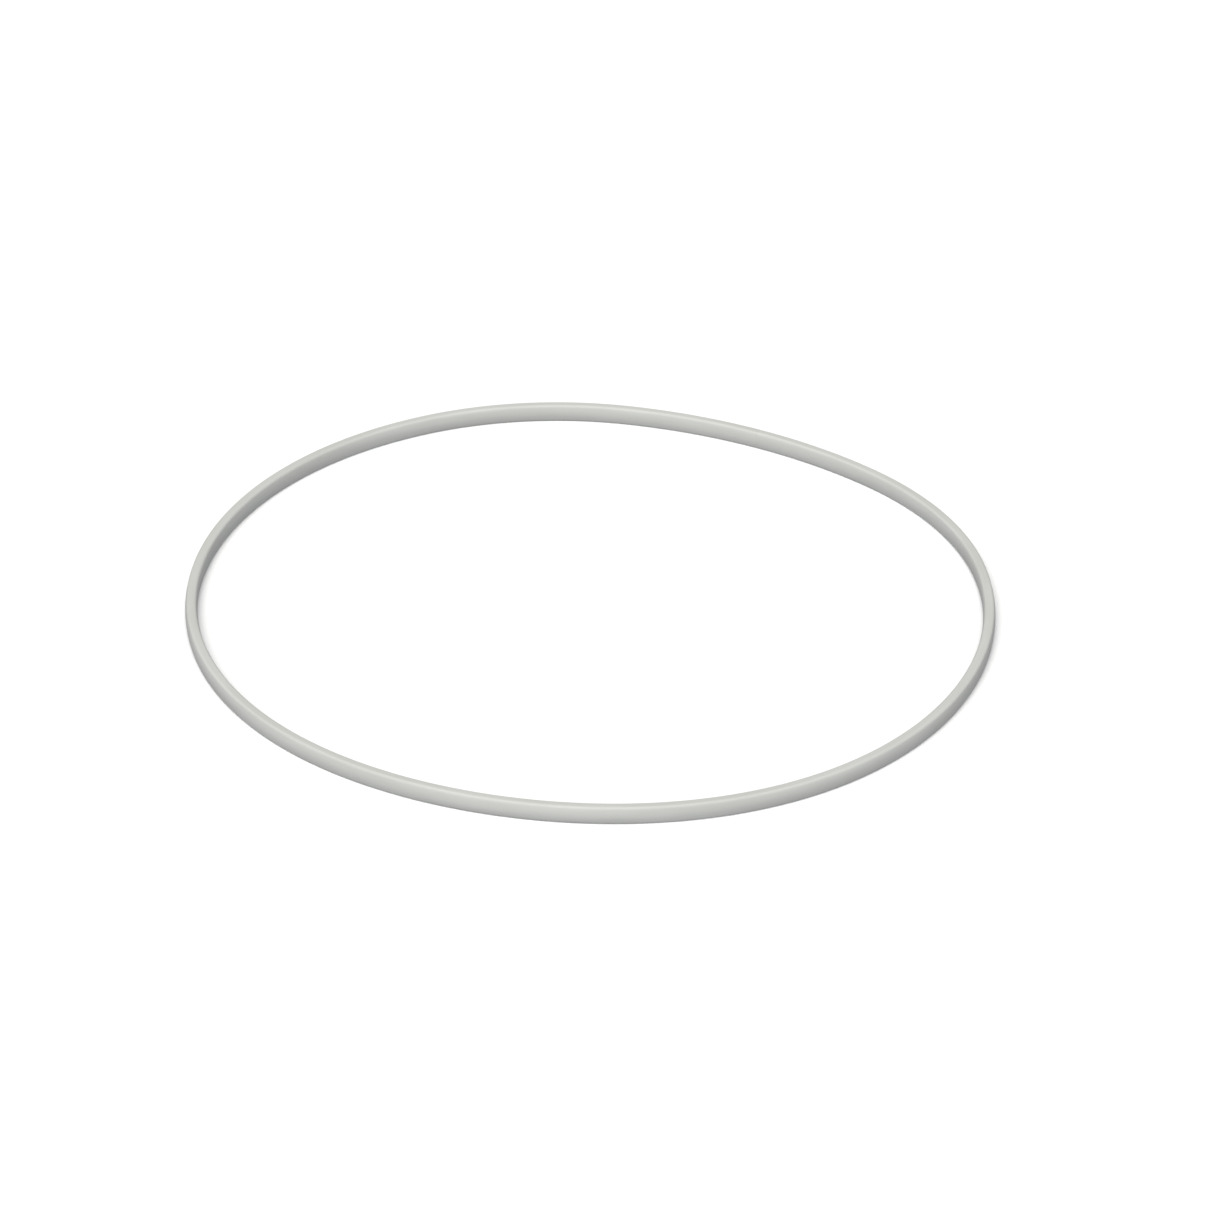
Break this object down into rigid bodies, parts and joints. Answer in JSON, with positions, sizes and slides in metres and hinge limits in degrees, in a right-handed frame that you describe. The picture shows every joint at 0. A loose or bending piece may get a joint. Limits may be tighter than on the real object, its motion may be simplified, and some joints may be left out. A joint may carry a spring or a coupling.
{
  "type": "rhythmic gymnastics hoop",
  "caption": "Hollow plastic hoop of flat section with bulging sides, closed over an internal plug with countersunk pins, for rolling, spinning and throwing.",
  "frame": {"origin": "midway across the hoop along X and along Y, on the plane that the hoop lies on", "axes": "+Z is the hoop's axis, up from the plane that it lies on; +Y runs from the origin to the middle of the joint; X runs across the hoop, along the band at the joint"},
  "size_m": [0.8248, 0.809, 0.019],
  "materials": {
    "hoop_plastic": "satin off-white polyethylene, very light handling scuffs",
    "plug_plastic": "moulded natural white nylon",
    "pin_steel": "zinc plated"
  },
  "bodies": {
    "root": {"hoop_tube": "hoop_plastic", "joint_plug": "plug_plastic", "joint_pin_1": "pin_steel", "joint_pin_2": "pin_steel", "joint_pin_3": "pin_steel", "joint_pin_4": "pin_steel"}
  },
  "joints": []
}
